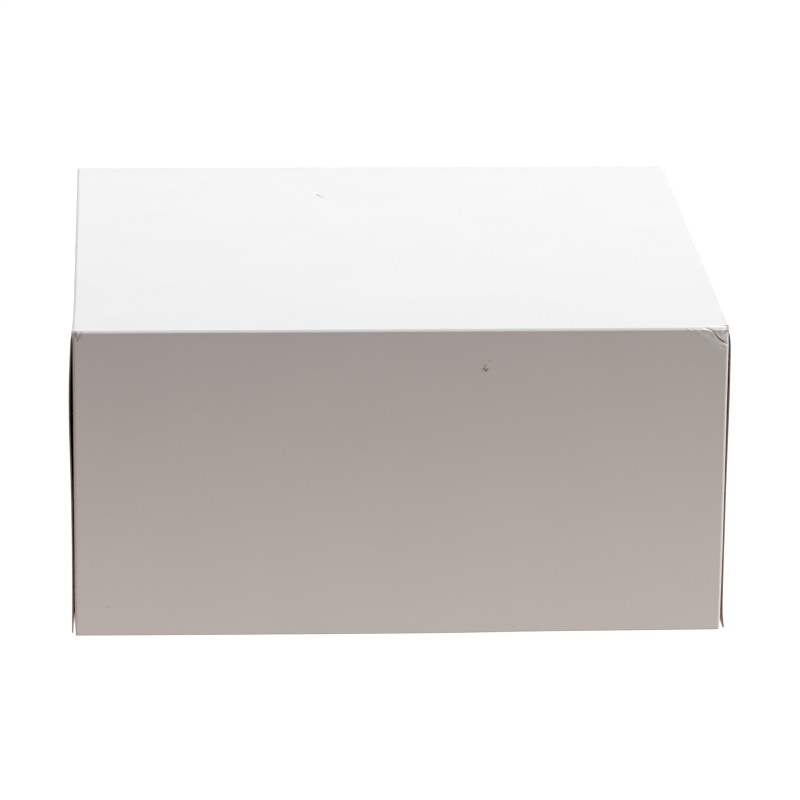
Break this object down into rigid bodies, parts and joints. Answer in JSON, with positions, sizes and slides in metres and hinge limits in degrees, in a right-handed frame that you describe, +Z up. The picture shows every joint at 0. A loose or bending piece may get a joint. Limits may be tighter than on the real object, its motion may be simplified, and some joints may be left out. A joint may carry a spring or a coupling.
{
  "type": "cake box",
  "caption": "Square folding cake box of thin white paperboard, with a lid hinged at the back and full-height flaps that hang over the tray's walls.",
  "frame": {"origin": "on the floor, under the middle of the closed box", "axes": "+Z up, +X to the right as seen from the front, front flap towards -Y, hinged back wall towards +Y"},
  "size_m": [0.2531, 0.25, 0.122],
  "materials": {
    "tray_board": "white clay-coated paperboard, satin outside, uncoated brown kraft inside",
    "lid_board": "white clay-coated paperboard, satin outside, uncoated brown kraft inside",
    "flap_board": "white clay-coated paperboard, satin outside, uncoated brown kraft inside"
  },
  "bodies": {
    "tray": {"tray": "tray_board"},
    "lid": {"lid": "lid_board"},
    "front_flap": {"front_flap": "flap_board"},
    "left_flap": {"left_flap": "flap_board"},
    "right_flap": {"right_flap": "flap_board"}
  },
  "joints": [
    {"name": "lid_hinge", "type": "hinge", "parent": "tray", "child": "lid", "pos_m": [0, 0.12475, 0.12175], "axis": [-1, 0, 0], "range_deg": [0, 175]},
    {"name": "front_flap_hinge", "type": "hinge", "parent": "lid", "child": "front_flap", "pos_m": [0, -0.12475, 0.12065], "axis": [-1, 0, 0], "range_deg": [0, 90]},
    {"name": "left_flap_hinge", "type": "hinge", "parent": "lid", "child": "left_flap", "pos_m": [-0.12475, 0, 0.12065], "axis": [0, 1, 0], "range_deg": [0, 90]},
    {"name": "right_flap_hinge", "type": "hinge", "parent": "lid", "child": "right_flap", "pos_m": [0.12475, 0, 0.12065], "axis": [0, -1, 0], "range_deg": [0, 90]}
  ]
}
